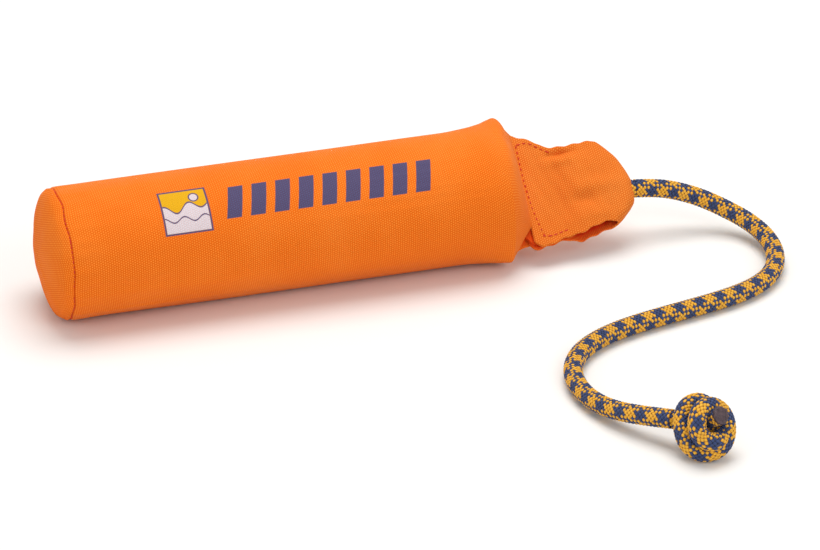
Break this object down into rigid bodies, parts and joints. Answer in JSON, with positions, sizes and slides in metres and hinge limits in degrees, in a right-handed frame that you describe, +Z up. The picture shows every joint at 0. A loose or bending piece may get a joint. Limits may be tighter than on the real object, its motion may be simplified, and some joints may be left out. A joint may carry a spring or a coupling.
{
  "type": "training bumper",
  "caption": "Soft floating throw and retrieve bumper: foam cylinder in a sewn woven cover, with a folded tab and a braided rope ending in a stopper knot.",
  "frame": {"origin": "on the surface the bumper lies on, under the middle of the body and tab", "axes": "+X along the body from the domed end cap to the tab, +Z up, -Y towards the side the rope lies on"},
  "size_m": [0.3704, 0.2736, 0.0657],
  "materials": {
    "foam": "closed-cell foam, matt, fine cells",
    "cover_cloth": "coated woven polyester, matt, plain weave of fine yarns",
    "thread": "twisted polyester sewing thread",
    "gold_ink": "printed ink on cloth",
    "navy_ink": "printed ink on cloth",
    "braid": "round braid of navy and gold strands",
    "melted_end": "fused rope fibres"
  },
  "bodies": {
    "bumper": {"foam_core": "foam", "cover_panel": "cover_cloth", "end_cap": "cover_cloth", "cap_seam_thread": "thread", "side_seam_thread": "thread", "printed_badge": "gold_ink", "printed_bars": "navy_ink", "rope": "braid", "rope_knot": "braid", "rope_tip": "melted_end"},
    "tab": {"closing_tongue": "cover_cloth", "handle_tab": "cover_cloth", "seam_row_stitches": "thread", "upper_edge_stitches": "thread", "lower_edge_stitches": "thread", "rope_tail": "braid", "tail_tack": "thread"}
  },
  "joints": [
    {"name": "tab_fold", "type": "hinge", "parent": "bumper", "child": "tab", "pos_m": [0.0946, 0, 0.0323], "axis": [0, -0.7314, -0.682], "range_deg": [-25, 40]}
  ]
}
